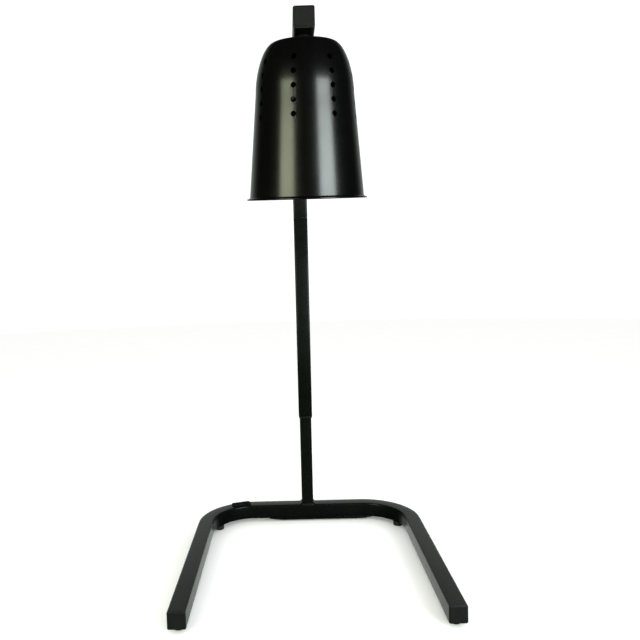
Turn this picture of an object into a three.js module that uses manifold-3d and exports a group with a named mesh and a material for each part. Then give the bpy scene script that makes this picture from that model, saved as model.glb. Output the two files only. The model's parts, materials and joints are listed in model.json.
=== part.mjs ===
// Free-standing heat lamp warmer: a bent square-tube base, a telescoping column with a bent arm,
// and a tall perforated bell shade over an infrared bulb. Millimetres, +Z up, the column's axis at
// x = 0, and the front of the object (the open end of the base) towards -Y.
import * as THREE from "three";
import { mergeVertices } from "three/addons/utils/BufferGeometryUtils.js";
import Module from "manifold-3d";

const wasm = await Module();
wasm.setup();

// ---- Driving dimensions ----
const TUBE = 31.4; // square tube of the base, sleeve and arm
const WALL = 1.2;
const TUBE_CORNER = 3;
const POST = 27; // square tube of the lower post
const FIT = 0.3; // gap between pieces that rest on each other
const FOOT_HEIGHT = 8;
const BASE_WIDTH = 492.4;
const BASE_FRONT_Y = -492; // front face of the leg caps
const BEND_RADIUS = 105; // centreline radius of every tube bend
const BEND_STEPS = 8;
const SLEEVE_BOTTOM_Z = 247.5;
const SEAM_Z = 712;
const ARM_UNDERSIDE_Z = 931.6;
const ARM_FRONT_Y = -556; // front face of the arm's cap
const POST_TOP_Z = 462;
const CAP_FACE = 3; // thickness of a tube cap's face
const CAP_DEPTH = 12; // length of its plug inside the tube
const SHADE_Y = -518.6;
const SHADE_DROP = 9.4; // crown of the shade below the arm
const SHADE_TILT = THREE.MathUtils.degToRad(6.7); // the rim swings back towards the column
const SHADE_HEIGHT = 225.6;
const SHADE_WALL = 1.2;
const CROWN_FLAT = 46.6; // radius of the flat top
const CROWN_HEIGHT = 69.7;
const CROWN_RADIUS = 73.8;
const CROWN_POWER = 1.71; // squareness of the crown's curve
const SKIRT_RADIUS = 87.6;
const SKIRT_END = 220.4; // depth where the lip of the rim starts
const RIM_RADIUS = 92.5;
const HOLE_RADIUS = 4;
const HOLE_COLUMNS = 8;
const HOLE_ROWS = 5;
const HOLE_FIRST = 29.5; // depth of the first row below the crown
const HOLE_PITCH = 19.5;
const HOLE_TURN = THREE.MathUtils.degToRad(-14.2); // first column from the front towards +X
const FOOT_RADIUS = 11;
const REAR_FOOT = [207, -51];
const FRONT_FOOT = [230, -469];
const SWITCH_X = -158;
const SWITCH_OFF = THREE.MathUtils.degToRad(8); // rest tilt of the rocker
const COVER_CENTRE_X = 29.5;
const COVER_LENGTH = 243;
const GLAND_X = 60;
const CLAMP_Z = SLEEVE_BOTTOM_Z + 32;
const KNOB_REACH = 50; // outermost face of the clamp knob behind the column

const BASE_BOTTOM_Z = FOOT_HEIGHT;
const BASE_TOP_Z = BASE_BOTTOM_Z + TUBE;
const BASE_MID_Z = BASE_BOTTOM_Z + TUBE / 2;
const INNER = TUBE - 2 * WALL;
const LEG_X = BASE_WIDTH / 2 - TUBE / 2;
const LEG_END_Y = BASE_FRONT_Y + CAP_FACE;
const ARM_MID_Z = ARM_UNDERSIDE_Z + TUBE / 2;
const ARM_END_Y = ARM_FRONT_Y + CAP_FACE;

// ---- Materials ----
function material(colour, roughness, metalness) {
  return new THREE.MeshStandardMaterial({ color: colour, roughness, metalness });
}

const blackPaint = () => material(0x161716, 0.45, 0.1);
const glossPaint = () => material(0x101110, 0.25, 0.1);
const blackPlastic = () => material(0x1b1b1b, 0.55, 0);
const blackRubber = () => material(0x0d0d0d, 0.85, 0);
const zincSteel = () => material(0xa9adb0, 0.35, 1);
const brass = () => material(0xb5974f, 0.35, 1);
const porcelain = () => material(0x241c18, 0.3, 0);
const lampGlass = () => material(0xd6d3cb, 0.3, 0);

// ---- Outlines ----
function arcPoints(cx, cy, radius, from, to, steps) {
  const points = [];
  for (let i = 0; i <= steps; i++) {
    const a = THREE.MathUtils.degToRad(from + ((to - from) * i) / steps);
    points.push(new THREE.Vector2(cx + radius * Math.cos(a), cy + radius * Math.sin(a)));
  }
  return points;
}

// A rectangle's outline with round corners, centred on the origin.
function roundedPoints(width, height, corner, steps = 3) {
  const x = width / 2 - corner;
  const y = height / 2 - corner;
  return [
    ...arcPoints(x, y, corner, 0, 90, steps),
    ...arcPoints(-x, y, corner, 90, 180, steps),
    ...arcPoints(-x, -y, corner, 180, 270, steps),
    ...arcPoints(x, -y, corner, 270, 360, steps),
  ];
}

function roundedShape(width, height, corner, steps = 3) {
  return new THREE.Shape(roundedPoints(width, height, corner, steps));
}

function tubeShape(size, wall, corner) {
  const shape = roundedShape(size, size, corner);
  const inner = size - 2 * wall;
  shape.holes.push(new THREE.Path(roundedPoints(inner, inner, Math.max(corner - wall, 0.5), 2)));
  return shape;
}

// ---- Solids ----
function extruded(shape, depth, bevel = 0) {
  return new THREE.ExtrudeGeometry(shape, {
    depth: depth - 2 * bevel,
    bevelEnabled: bevel > 0,
    bevelThickness: bevel,
    bevelSize: bevel,
    bevelOffset: -bevel,
    bevelSegments: 2,
    curveSegments: 6,
  }).translate(0, 0, bevel);
}

// Turned about Z from [radius, height] pairs that run up the outside and close on the axis or themselves.
function turned(profile, segments = 24) {
  return new THREE.LatheGeometry(
    profile.map(([r, z]) => new THREE.Vector2(r, z)),
    segments,
  ).rotateX(Math.PI / 2);
}

function hexPrism(acrossFlats, height) {
  return new THREE.CylinderGeometry(acrossFlats / Math.sqrt(3), acrossFlats / Math.sqrt(3), height, 6)
    .rotateX(Math.PI / 2)
    .translate(0, 0, height / 2);
}

function rod(radius, height, segments = 20) {
  return new THREE.CylinderGeometry(radius, radius, height, segments)
    .rotateX(Math.PI / 2)
    .translate(0, 0, height / 2);
}

function block(width, depth, height) {
  return new THREE.BoxGeometry(width, depth, height).translate(0, 0, height / 2);
}

// ---- Joins and cuts ----
function toSolid(geometry) {
  const bare = geometry.index ? geometry.toNonIndexed() : geometry.clone();
  bare.deleteAttribute("normal");
  bare.deleteAttribute("uv");
  const merged = mergeVertices(bare, 1e-4);
  return new wasm.Manifold(
    new wasm.Mesh({
      numProp: 3,
      vertProperties: new Float32Array(merged.attributes.position.array),
      triVerts: new Uint32Array(merged.index.array),
    }),
  );
}

function toGeometry(solid) {
  const mesh = solid.getMesh();
  const positions = new Float32Array(mesh.numVert * 3);
  for (let i = 0; i < mesh.numVert; i++) {
    const at = i * mesh.numProp;
    positions.set(mesh.vertProperties.subarray(at, at + 3), i * 3);
  }
  const geometry = new THREE.BufferGeometry();
  geometry.setAttribute("position", new THREE.BufferAttribute(positions, 3));
  geometry.setIndex(new THREE.BufferAttribute(new Uint32Array(mesh.triVerts), 1));
  geometry.computeVertexNormals();
  return geometry;
}

function cut(geometry, ...tools) {
  return toGeometry(tools.reduce((solid, tool) => solid.subtract(toSolid(tool)), toSolid(geometry)));
}

function joined(geometry, ...others) {
  return toGeometry(others.reduce((solid, other) => solid.add(toSolid(other)), toSolid(geometry)));
}

// ---- Tubes along a route of straights and round bends ----
// The curve visits its own stations, so that a straight takes one step and a bend takes BEND_STEPS.
class TubeRoute extends THREE.Curve {
  constructor(stations) {
    super();
    this.stations = stations;
  }
  locate(t) {
    const last = this.stations.length - 1;
    return this.stations[Math.min(last, Math.round(t * last))];
  }
  getPointAt(t) {
    return this.locate(t).point.clone();
  }
  getTangentAt(t) {
    return this.locate(t).tangent.clone();
  }
  getSpacedPoints() {
    return this.stations.map((station) => station.point.clone());
  }
}

// Stations along corners joined by bends of one radius.
function routeThrough(corners, radius, steps = BEND_STEPS) {
  const stations = [];
  const direction = (a, b) => b.clone().sub(a).normalize();
  stations.push({ point: corners[0], tangent: direction(corners[0], corners[1]) });
  for (let i = 1; i < corners.length - 1; i++) {
    const into = direction(corners[i - 1], corners[i]);
    const out = direction(corners[i], corners[i + 1]);
    const start = corners[i].clone().addScaledVector(into, -radius);
    for (let k = 0; k <= steps; k++) {
      const a = (Math.PI / 2) * (k / steps);
      const point = start
        .clone()
        .addScaledVector(into, radius * Math.sin(a))
        .addScaledVector(out, radius * (1 - Math.cos(a)));
      const tangent = into
        .clone()
        .multiplyScalar(Math.cos(a))
        .addScaledVector(out, Math.sin(a));
      stations.push({ point, tangent });
    }
  }
  const end = corners.length - 1;
  stations.push({ point: corners[end], tangent: direction(corners[end - 1], corners[end]) });
  return new TubeRoute(stations);
}

function swept(shape, route) {
  return new THREE.ExtrudeGeometry(shape, {
    steps: route.stations.length - 1,
    bevelEnabled: false,
    extrudePath: route,
    curveSegments: 6,
  });
}

const group = new THREE.Group();

function place(parent, name, geometry, surface, x = 0, y = 0, z = 0) {
  const mesh = new THREE.Mesh(geometry, surface);
  mesh.name = name;
  mesh.position.set(x, y, z);
  parent.add(mesh);
  return mesh;
}

// ---- Base ----
const SWITCH_BODY = [28, 13, 18]; // length, width and depth of the rocker's box below the bezel
const bendCentreX = LEG_X - BEND_RADIUS;
const switchSwing = Math.asin((-SWITCH_X - bendCentreX) / BEND_RADIUS);
const SWITCH_Y = -BEND_RADIUS + BEND_RADIUS * Math.cos(switchSwing);
const SCREW_CLEARANCE = 2.4;
const LEAD_HOLE = 9;
const GLAND_BODY = 6.5;
const COVER_SCREW_X = [COVER_CENTRE_X - COVER_LENGTH / 2 + 38, COVER_CENTRE_X + COVER_LENGTH / 2 - 26];
const feet = [
  ["rear_left", -REAR_FOOT[0], REAR_FOOT[1]],
  ["rear_right", REAR_FOOT[0], REAR_FOOT[1]],
  ["front_left", -FRONT_FOOT[0], FRONT_FOOT[1]],
  ["front_right", FRONT_FOOT[0], FRONT_FOOT[1]],
];

function baseFrame() {
  const corners = [
    new THREE.Vector3(-LEG_X, LEG_END_Y, BASE_MID_Z),
    new THREE.Vector3(-LEG_X, 0, BASE_MID_Z),
    new THREE.Vector3(LEG_X, 0, BASE_MID_Z),
    new THREE.Vector3(LEG_X, LEG_END_Y, BASE_MID_Z),
  ];
  const tube = swept(tubeShape(TUBE, WALL, TUBE_CORNER), routeThrough(corners, BEND_RADIUS));
  const reach = 2 * WALL + 2;
  const cuts = feet.map(([, x, y]) => rod(SCREW_CLEARANCE, reach, 12).translate(x, y, BASE_BOTTOM_Z - 1));
  for (const x of COVER_SCREW_X) {
    cuts.push(rod(SCREW_CLEARANCE, reach, 12).translate(x, 0, BASE_BOTTOM_Z - 1));
  }
  cuts.push(rod(LEAD_HOLE, reach, 16).translate(0, 0, BASE_TOP_Z - reach + 1));
  cuts.push(block(80, 16, reach).translate(COVER_CENTRE_X, 0, BASE_BOTTOM_Z - 1));
  const opening = block(SWITCH_BODY[0] + 2 * FIT, SWITCH_BODY[1] + 2 * FIT, reach);
  cuts.push(opening.rotateZ(switchSwing).translate(SWITCH_X, SWITCH_Y, BASE_TOP_Z - reach + 1));
  const glandHole = rod(GLAND_BODY + FIT, reach, 16).rotateX(-Math.PI / 2);
  cuts.push(glandHole.translate(GLAND_X, TUBE / 2 - reach + 1, BASE_MID_Z));
  return cut(tube, ...cuts);
}

// A moulded cap facing -Y: a face the size of the tube and a ribbed plug behind it.
function tubeCap() {
  const face = extruded(roundedShape(TUBE, TUBE, TUBE_CORNER), CAP_FACE - FIT, 0.8);
  const plugSize = INNER - 2 * FIT;
  const plug = extruded(roundedShape(plugSize, plugSize, 1.2, 1), CAP_DEPTH).translate(0, 0, CAP_FACE - 1);
  const hollow = block(plugSize - 4, plugSize - 4, CAP_DEPTH).translate(0, 0, CAP_FACE + 1);
  return cut(joined(face, plug), hollow).rotateX(-Math.PI / 2);
}

function foot() {
  const r = FOOT_RADIUS;
  const h = FOOT_HEIGHT - FIT;
  return turned([
    [2.6, 4],
    [5.6, 4],
    [5.6, 0],
    [r - 2, 0],
    [r - 1, 0.8],
    [r, h - 1],
    [r - 0.6, h],
    [2.6, h],
    [2.6, 4],
  ], 18);
}

// A pan-head screw, head down, shank pointing up from the underside of the head.
function panScrew(shank, headRadius, headHeight, length) {
  const head = turned([
    [0, -headHeight],
    [headRadius * 0.7, -headHeight],
    [headRadius, -headHeight * 0.4],
    [headRadius, 0],
    [shank, 0],
    [shank, length - 1.5],
    [0.6, length],
    [0, length],
  ], 12);
  const slot = headHeight * 0.5;
  const cross = block(headRadius, 0.9, slot).translate(0, 0, -headHeight - 0.1);
  return cut(head, cross, cross.clone().rotateZ(Math.PI / 2));
}

const base = new THREE.Group();
group.add(base);
place(base, "base_frame", baseFrame(), blackPaint());
for (const [side, x] of [["left", -LEG_X], ["right", LEG_X]]) {
  place(base, "leg_cap_" + side, tubeCap(), blackPlastic(), x, BASE_FRONT_Y, BASE_MID_Z);
}
const FOOT_HEAD = 2.4;
for (const [where, x, y] of feet) {
  place(base, "foot_" + where, foot(), blackRubber(), x, y, 0);
  place(base, "foot_screw_" + where, panScrew(2, 4.4, FOOT_HEAD, 9), zincSteel(), x, y, 4 - FIT);
}

// The cover that closes the wiring opening under the rear bar, with ramped ends.
const COVER_THICKNESS = 5;
const COVER_WIDTH = 28;
const COVER_END = 1.2; // thickness left at each end
function wiringCover() {
  const half = COVER_LENGTH / 2;
  const side = new THREE.Shape([
    new THREE.Vector2(-half, COVER_THICKNESS),
    new THREE.Vector2(-half, COVER_THICKNESS - COVER_END),
    new THREE.Vector2(-half + 30, 0),
    new THREE.Vector2(half - 16, 0),
    new THREE.Vector2(half, COVER_THICKNESS - COVER_END),
    new THREE.Vector2(half, COVER_THICKNESS),
  ]);
  const plate = extruded(side, COVER_WIDTH).rotateX(Math.PI / 2).translate(0, COVER_WIDTH / 2, 0);
  const holes = COVER_SCREW_X.map((x) => rod(SCREW_CLEARANCE, 10, 12).translate(x - COVER_CENTRE_X, 0, -1));
  return cut(plate, ...holes);
}
const coverZ = BASE_BOTTOM_Z - FIT - COVER_THICKNESS;
place(base, "wiring_cover", wiringCover(), blackPaint(), COVER_CENTRE_X, 0, coverZ);
COVER_SCREW_X.forEach((x, i) => {
  const name = "cover_screw_" + (i ? "right" : "left");
  place(base, name, panScrew(1.9, 3.6, 1.8, 11), zincSteel(), x, 0, coverZ - FIT);
});

// ---- Power switch ----
const BEZEL = [44, 22, 3];
const ROCKER = [24.4, 10.4]; // length and width of the moving key
const ROCKER_AXIS_Z = 0.5; // the key's pivot above the tube's top
function switchBezel() {
  const [length, width, height] = BEZEL;
  const [bodyLength, bodyWidth, bodyDepth] = SWITCH_BODY;
  const rim = extruded(roundedShape(length, width, 5), height - FIT, 0.9).translate(0, 0, FIT);
  const body = block(bodyLength, bodyWidth, bodyDepth + 1).translate(0, 0, -bodyDepth);
  const well = block(bodyLength - 3, bodyWidth - 2, 12).translate(0, 0, -7);
  return cut(joined(rim, body), well);
}
function switchRocker() {
  const [length, width] = ROCKER;
  const half = length / 2;
  const top = BEZEL[2] + 1.2;
  const shape = new THREE.Shape([
    new THREE.Vector2(-half, -1),
    new THREE.Vector2(half, -1),
    new THREE.Vector2(half - 0.4, top - 1.4),
    new THREE.Vector2(half - 1.6, top - 0.6),
    new THREE.Vector2(0, top - 2),
    new THREE.Vector2(-half + 1.6, top - 0.6),
    new THREE.Vector2(-half + 0.4, top - 1.4),
  ]);
  return extruded(shape, width).rotateX(Math.PI / 2).translate(0, width / 2, -ROCKER_AXIS_Z);
}
const switchMount = new THREE.Group();
switchMount.position.set(SWITCH_X, SWITCH_Y, BASE_TOP_Z);
switchMount.rotation.z = switchSwing;
base.add(switchMount);
place(switchMount, "power_switch_bezel", switchBezel(), blackPlastic());
const rocker = place(switchMount, "power_switch_rocker", switchRocker(), blackPlastic(), 0, 0, ROCKER_AXIS_Z);
rocker.rotation.y = -SWITCH_OFF;

// ---- Cord gland in the rear wall ----
const LEAD_RADIUS = 3;
function cordGland() {
  const bore = LEAD_RADIUS + FIT;
  const outside = turned([
    [bore, -10],
    [GLAND_BODY, -10],
    [GLAND_BODY, 0],
    [10, 0],
    [10, 3],
    [7.4, 4.5],
    [6.2, 16],
    [5.4, 17],
    [bore, 17],
    [bore, -10],
  ], 20);
  return outside.rotateX(-Math.PI / 2);
}
place(base, "cord_gland", cordGland(), blackRubber(), GLAND_X, TUBE / 2 + FIT, BASE_MID_Z);

// ---- Lower post ----
function squareRing(outer, inner, height, corner = 0.8) {
  return cut(extruded(roundedShape(outer, outer, corner), height), block(inner, inner, height + 2).translate(0, 0, -1));
}
function straightTube(size, length, ...cuts) {
  const corner = size === TUBE ? TUBE_CORNER : 2.5;
  const tube = extruded(tubeShape(size, WALL, corner), length);
  return cuts.length ? cut(tube, ...cuts) : tube;
}
const postBottom = BASE_TOP_Z + FIT;
place(base, "lower_post", straightTube(POST, POST_TOP_Z - postBottom), blackPaint(), 0, 0, postBottom);

// The fillet weld round the foot of the post.
const WELD_LEG = 4;
function weldBead() {
  const outer = new THREE.CylinderGeometry(
    (POST / 2 + 1) * Math.SQRT2,
    (POST / 2 + WELD_LEG) * Math.SQRT2,
    WELD_LEG,
    4,
  );
  const bead = outer.rotateX(Math.PI / 2).rotateZ(Math.PI / 4).translate(0, 0, WELD_LEG / 2);
  return cut(bead, block(POST + 2 * FIT, POST + 2 * FIT, WELD_LEG + 2).translate(0, 0, -1));
}
place(base, "post_weld_bead", weldBead(), blackPaint(), 0, 0, BASE_TOP_Z + FIT);

// The plastic guide on top of the post, which steadies the sleeve inside.
const GUIDE_SIZE = INNER - 0.8;
function postGuide() {
  const flange = extruded(roundedShape(GUIDE_SIZE, GUIDE_SIZE, 1.4), 8, 1);
  const plugSize = POST - 2 * WALL - 2 * FIT;
  const plug = extruded(roundedShape(plugSize, plugSize, 1.2, 2), 16).translate(0, 0, -15);
  return cut(joined(flange, plug), block(14, 14, 40).translate(0, 0, -20));
}
place(base, "post_guide_bush", postGuide(), blackPlastic(), 0, 0, POST_TOP_Z + FIT);

// ---- Sliding column ----
const column = new THREE.Group();
group.add(column);
const GUIDE_FLANGE = 3;
const CLAMP_BORE = 4.4;
function columnSleeve() {
  const bottom = SLEEVE_BOTTOM_Z + GUIDE_FLANGE;
  const length = SEAM_Z - bottom;
  const clampHole = rod(CLAMP_BORE, WALL + 4, 16).rotateX(-Math.PI / 2);
  clampHole.translate(0, INNER / 2 - 2, CLAMP_Z - bottom);
  const screwHole = rod(SCREW_CLEARANCE, WALL + 4, 12).rotateX(-Math.PI / 2);
  screwHole.translate(0, INNER / 2 - 2, length - 25);
  return straightTube(TUBE, length, clampHole, screwHole);
}
place(column, "column_sleeve", columnSleeve(), blackPaint(), 0, 0, SLEEVE_BOTTOM_Z + GUIDE_FLANGE);

function sleeveBush() {
  const flange = extruded(roundedShape(TUBE - 0.8, TUBE - 0.8, 2.6), GUIDE_FLANGE - FIT, 0.7);
  const skirt = extruded(roundedShape(INNER - 0.4, INNER - 0.4, 1.6, 2), 22).translate(0, 0, 1);
  const bore = extruded(roundedShape(POST + 0.5, POST + 0.5, 2.5), 40).translate(0, 0, -1);
  return cut(joined(flange, skirt), bore);
}
place(column, "sleeve_guide_bush", sleeveBush(), blackPlastic(), 0, 0, SLEEVE_BOTTOM_Z);

// ---- Column clamp: weld nut, washer, stud and knob behind the sleeve ----
const STUD_RADIUS = 4;
const NUT_LENGTH = 9;
const WASHER = 1.6;
const nutFace = TUBE / 2 + FIT + NUT_LENGTH;
function weldNut() {
  const nut = cut(hexPrism(13, NUT_LENGTH), rod(STUD_RADIUS + 0.15, 20, 20).translate(0, 0, -1));
  return nut.rotateX(-Math.PI / 2);
}
place(column, "clamp_weld_nut", weldNut(), blackPaint(), 0, TUBE / 2 + FIT, CLAMP_Z);
function flatWasher(inner, outer, thickness) {
  return turned([[inner, 0], [outer, 0], [outer, thickness], [inner, thickness], [inner, 0]]);
}
const washerY = nutFace + FIT;
const clampWasher = flatWasher(STUD_RADIUS + 0.2, 8, WASHER).rotateX(-Math.PI / 2);
place(column, "clamp_washer", clampWasher, zincSteel(), 0, washerY, CLAMP_Z);
const knobY = washerY + WASHER + FIT;
const KNOB_LOBES = 6;
function knobGeometry() {
  const points = [];
  const steps = 48;
  for (let i = 0; i < steps; i++) {
    const a = (2 * Math.PI * i) / steps;
    const r = 11.3 + 1.4 * Math.cos(KNOB_LOBES * a);
    points.push(new THREE.Vector2(r * Math.cos(a), r * Math.sin(a)));
  }
  const hub = rod(8.5, 8, 24);
  const grip = extruded(new THREE.Shape(points), KNOB_REACH - knobY - 7, 2).translate(0, 0, 7);
  const socket = rod(STUD_RADIUS + 0.1, 14, 20).translate(0, 0, -1);
  return cut(joined(hub, grip), socket).rotateX(-Math.PI / 2);
}
place(column, "clamp_knob", knobGeometry(), blackPlastic(), 0, knobY, CLAMP_Z);
const studStart = POST / 2 + 0.2;
const studLength = knobY + 12.8 - studStart;
const stud = rod(STUD_RADIUS, studLength, 20).rotateX(-Math.PI / 2);
place(column, "clamp_stud", stud, zincSteel(), 0, studStart, CLAMP_Z);

// ---- Arm ----
const ROOT_HEIGHT = 50; // engagement of the spigot on each side of the seam
const NIPPLE_HOLE = 6.2;
const HANGER_Y = SHADE_Y - SHADE_DROP * Math.tan(SHADE_TILT); // where the tilted nipple meets the arm
function armTube() {
  const corners = [
    new THREE.Vector3(0, 0, SEAM_Z + FIT),
    new THREE.Vector3(0, 0, ARM_MID_Z),
    new THREE.Vector3(0, ARM_END_Y, ARM_MID_Z),
  ];
  const tube = swept(tubeShape(TUBE, WALL, TUBE_CORNER), routeThrough(corners, BEND_RADIUS));
  const hanger = rod(NIPPLE_HOLE, 8, 20).translate(0, HANGER_Y, ARM_UNDERSIDE_Z - 3);
  const screwHole = rod(SCREW_CLEARANCE, WALL + 4, 12).rotateX(-Math.PI / 2);
  return cut(tube, hanger, screwHole.translate(0, INNER / 2 - 2, SEAM_Z + 25));
}
place(column, "arm_tube", armTube(), blackPaint());
place(column, "arm_end_cap", tubeCap(), blackPlastic(), 0, ARM_FRONT_Y, ARM_MID_Z);

function armSpigot() {
  const size = INNER - 2 * FIT;
  const tube = extruded(tubeShape(size, 2, 1.4), 2 * ROOT_HEIGHT);
  const holes = [25, 75].map((z) => rod(1.6, 8, 12).rotateX(-Math.PI / 2).translate(0, size / 2 - 4, z));
  return cut(tube, ...holes);
}
place(column, "arm_spigot", armSpigot(), zincSteel(), 0, 0, SEAM_Z - ROOT_HEIGHT);
for (const [where, z] of [["lower", SEAM_Z - 25], ["upper", SEAM_Z + 25]]) {
  const screw = panScrew(1.5, 3.8, 2.2, 7).rotateX(Math.PI / 2);
  place(column, "spigot_screw_" + where, screw, zincSteel(), 0, TUBE / 2 + FIT, z);
}

// ---- Shade and lamp, hung square to the tilted crown ----
const lamp = new THREE.Group();
lamp.position.set(0, SHADE_Y, ARM_UNDERSIDE_Z - SHADE_DROP);
lamp.rotation.x = SHADE_TILT;
column.add(lamp);

function crownRadius(depth) {
  const u = (CROWN_HEIGHT - depth) / CROWN_HEIGHT;
  const bulge = Math.pow(1 - Math.pow(u, CROWN_POWER), 1 / CROWN_POWER);
  return CROWN_FLAT + (CROWN_RADIUS - CROWN_FLAT) * bulge;
}

// The outer face of the shade as [radius, depth] pairs from the crown's edge to the rim.
function shadeOutline() {
  const points = [[CROWN_FLAT, 0]];
  const crownSteps = 8;
  for (let i = 1; i <= crownSteps; i++) {
    const depth = CROWN_HEIGHT * Math.pow(i / crownSteps, 2.2);
    points.push([crownRadius(depth), depth]);
  }
  points.push([SKIRT_RADIUS, SKIRT_END]);
  points.push([SKIRT_RADIUS + 1.2, SKIRT_END + 1.5]);
  points.push([RIM_RADIUS - 0.8, SHADE_HEIGHT - 2.9]);
  points.push([RIM_RADIUS, SHADE_HEIGHT - 1.6]);
  points.push([RIM_RADIUS - 0.4, SHADE_HEIGHT]);
  return points;
}

const SHADE_SEGMENTS = 40;
const NIPPLE_RADIUS = 5;
function shadeShell() {
  const outline = shadeOutline();
  const inside = outline.map(([r, d], i) => {
    const [r0, d0] = outline[Math.max(i - 1, 0)];
    const [r1, d1] = outline[Math.min(i + 1, outline.length - 1)];
    const along = Math.hypot(r1 - r0, d1 - d0);
    return [r - (SHADE_WALL * (d1 - d0)) / along, d + (SHADE_WALL * (r1 - r0)) / along];
  });
  inside[0] = [CROWN_FLAT, SHADE_WALL];
  inside[inside.length - 1] = [RIM_RADIUS - 2.4, SHADE_HEIGHT];
  inside[inside.length - 2] = [RIM_RADIUS - 2.8, SHADE_HEIGHT - 1.4];
  const profile = [
    [NIPPLE_RADIUS + 0.4, -SHADE_WALL],
    ...inside.map(([r, d]) => [r, -d]),
    ...outline.map(([r, d]) => [r, -d]).reverse(),
    [NIPPLE_RADIUS + 0.4, 0],
    [NIPPLE_RADIUS + 0.4, -SHADE_WALL],
  ];
  const shell = turned(profile, SHADE_SEGMENTS);
  const holes = [];
  for (let column = 0; column < HOLE_COLUMNS; column++) {
    const turn = HOLE_TURN + (2 * Math.PI * column) / HOLE_COLUMNS;
    for (let row = 0; row < HOLE_ROWS; row++) {
      const depth = HOLE_FIRST + row * HOLE_PITCH;
      const drill = rod(HOLE_RADIUS, 50, 8).rotateX(Math.PI / 2).translate(0, -45, -depth);
      holes.push(drill.rotateZ(turn));
    }
  }
  return cut(shell, ...holes);
}
place(lamp, "shade", shadeShell(), glossPaint());

// ---- Hanger: a threaded nipple through the level arm, with wedge washers that take up the tilt ----
const NIPPLE_BORE = 3.5;
const NIPPLE_TOP = 22;
const NIPPLE_BOTTOM = -20;
const WEDGE_RADIUS = 12;
const nippleProfile = [
  [NIPPLE_BORE, NIPPLE_BOTTOM],
  [NIPPLE_RADIUS - 0.1, NIPPLE_BOTTOM],
  [NIPPLE_RADIUS - 0.1, NIPPLE_TOP],
  [NIPPLE_BORE, NIPPLE_TOP],
  [NIPPLE_BORE, NIPPLE_BOTTOM],
];
place(lamp, "hanger_nipple", turned(nippleProfile, 20), zincSteel());

// Everything above or below a level plane that crosses the nipple's axis at one height.
function levelBlock(height, above) {
  const slab = block(60, 60, 20).translate(0, 0, above ? 0 : -20);
  return slab.rotateX(-SHADE_TILT).translate(0, 0, height);
}
const nippleBore = () => rod(NIPPLE_RADIUS + 0.3, 60, 20).translate(0, 0, -30);
const lowerWedge = rod(WEDGE_RADIUS, 12, 28).translate(0, 0, FIT);
const lowerWedgeCut = cut(lowerWedge, nippleBore(), levelBlock(SHADE_DROP - FIT, true));
place(lamp, "hanger_wedge_lower", lowerWedgeCut, blackPaint());
const armFloor = SHADE_DROP + WALL + FIT; // inner face of the arm's lower wall
const wedgeTop = armFloor + 2;
const upperWedge = rod(WEDGE_RADIUS, 6, 28).translate(0, 0, wedgeTop - 6);
place(lamp, "hanger_wedge_upper", cut(upperWedge, nippleBore(), levelBlock(armFloor, false)), zincSteel());
const HANGER_NUT = 5;
const hangerNut = () => cut(hexPrism(16, HANGER_NUT), nippleBore());
place(lamp, "hanger_nut_upper", hangerNut(), zincSteel(), 0, 0, wedgeTop + FIT);
const lowerNutZ = -SHADE_WALL - FIT - HANGER_NUT;
place(lamp, "hanger_nut_lower", hangerNut(), zincSteel(), 0, 0, lowerNutZ);

// ---- Lamp holder ----
const HOLDER_TOP = lowerNutZ - FIT;
const HOLDER_BOTTOM = -62;
const HOLDER_RADIUS = 21.5;
const CAP_RADIUS = 24;
const SHELL_RADIUS = 14;
const CONTACT_Z = -29;
const holderCap = turned([
  [NIPPLE_RADIUS + 0.3, HOLDER_TOP - 1.5],
  [CAP_RADIUS - 8, HOLDER_TOP - 1.5],
  [CAP_RADIUS - 1.5, HOLDER_TOP - 7],
  [CAP_RADIUS - 1.5, HOLDER_TOP - 20],
  [CAP_RADIUS, HOLDER_TOP - 20],
  [CAP_RADIUS, HOLDER_TOP - 6],
  [CAP_RADIUS - 7, HOLDER_TOP],
  [NIPPLE_RADIUS + 0.3, HOLDER_TOP],
  [NIPPLE_RADIUS + 0.3, HOLDER_TOP - 1.5],
], 28);
place(lamp, "lamp_holder_cap", holderCap, blackPaint());
const holderBody = turned([
  [3.4, CONTACT_Z + 5],
  [3.4, NIPPLE_BOTTOM - 1],
  [HOLDER_RADIUS, NIPPLE_BOTTOM - 1],
  [HOLDER_RADIUS, HOLDER_BOTTOM + 1.5],
  [HOLDER_RADIUS - 1.5, HOLDER_BOTTOM],
  [SHELL_RADIUS + FIT, HOLDER_BOTTOM],
  [SHELL_RADIUS + FIT, CONTACT_Z + 5],
  [3.4, CONTACT_Z + 5],
].reverse(), 28);
place(lamp, "lamp_holder", holderBody, porcelain());
const shellTube = turned([
  [SHELL_RADIUS - 0.4, HOLDER_BOTTOM + 6],
  [SHELL_RADIUS, HOLDER_BOTTOM + 6],
  [SHELL_RADIUS, CONTACT_Z - 2],
  [SHELL_RADIUS - 0.4, CONTACT_Z - 2],
  [SHELL_RADIUS - 0.4, HOLDER_BOTTOM + 6],
]);
place(lamp, "holder_screw_shell", shellTube, brass());
const tongue = rod(3, 1.6, 16);
place(lamp, "holder_contact", tongue, brass(), 0, 0, CONTACT_Z + FIT);

// ---- Infrared reflector bulb ----
const BULB_RADIUS = 63.5;
const BULB_LENGTH = 165;
const GLASS_WALL = 1;
const BULB_NECK = 13.4;
const NECK_FLARE = 1.6; // how much the neck widens before the reflector starts
const bulbFace = CONTACT_Z - BULB_LENGTH;
const screwBottom = CONTACT_Z - 27;
const screwBase = turned([
  [0, screwBottom],
  [BULB_NECK - 0.2, screwBottom],
  [BULB_NECK - 0.2, CONTACT_Z - 6],
  [9, CONTACT_Z - 2.5],
  [4.4, CONTACT_Z - 2.5],
  [4.4, CONTACT_Z],
  [0, CONTACT_Z],
]);
place(lamp, "bulb_screw_base", screwBase, zincSteel());

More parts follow.
